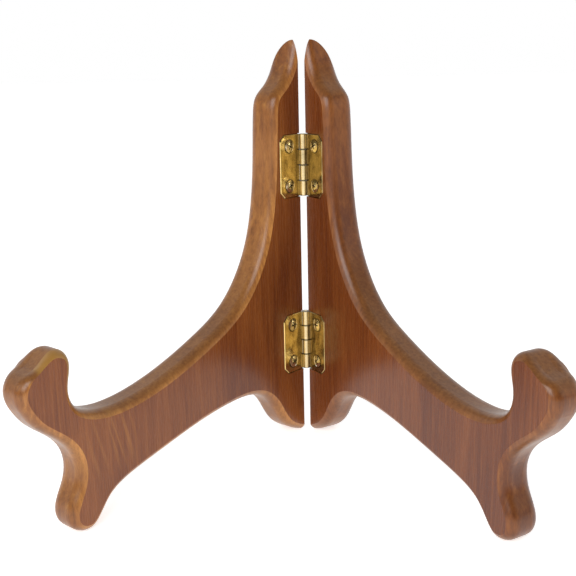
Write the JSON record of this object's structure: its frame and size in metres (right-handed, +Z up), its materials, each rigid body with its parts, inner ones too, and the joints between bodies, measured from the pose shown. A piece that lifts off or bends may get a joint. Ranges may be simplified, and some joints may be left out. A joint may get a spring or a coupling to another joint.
{
  "type": "plate display stand",
  "caption": "Folding wooden display stand for a plate: two shaped leaves hinged at the back with small brass butt hinges, with hooked feet that hold the rim.",
  "frame": {"origin": "middle of the standing footprint, on the table", "axes": "+Z up, +Y towards the hinged back, +X to the right seen from the front"},
  "size_m": [0.1814, 0.1164, 0.163],
  "materials": {
    "wood": "satin lacquer",
    "brass": "polished",
    "screw_brass": "polished"
  },
  "bodies": {
    "left_side": {"left_leaf": "wood", "upper_hinge_left_plate": "brass", "upper_hinge_left_screw_bottom": "screw_brass", "upper_hinge_left_screw_top": "screw_brass", "lower_hinge_left_plate": "brass", "lower_hinge_left_screw_bottom": "screw_brass", "lower_hinge_left_screw_top": "screw_brass", "upper_hinge_pin": "brass", "lower_hinge_pin": "brass"},
    "right_side": {"right_leaf": "wood", "upper_hinge_right_plate": "brass", "upper_hinge_right_screw_bottom": "screw_brass", "upper_hinge_right_screw_top": "screw_brass", "lower_hinge_right_plate": "brass", "lower_hinge_right_screw_bottom": "screw_brass", "lower_hinge_right_screw_top": "screw_brass"}
  },
  "joints": [
    {"name": "leaf_hinge", "type": "hinge", "parent": "left_side", "child": "right_side", "pos_m": [0, 0.05164, 0.0775], "axis": [0, 0, 1], "range_deg": [-72, 108]}
  ]
}
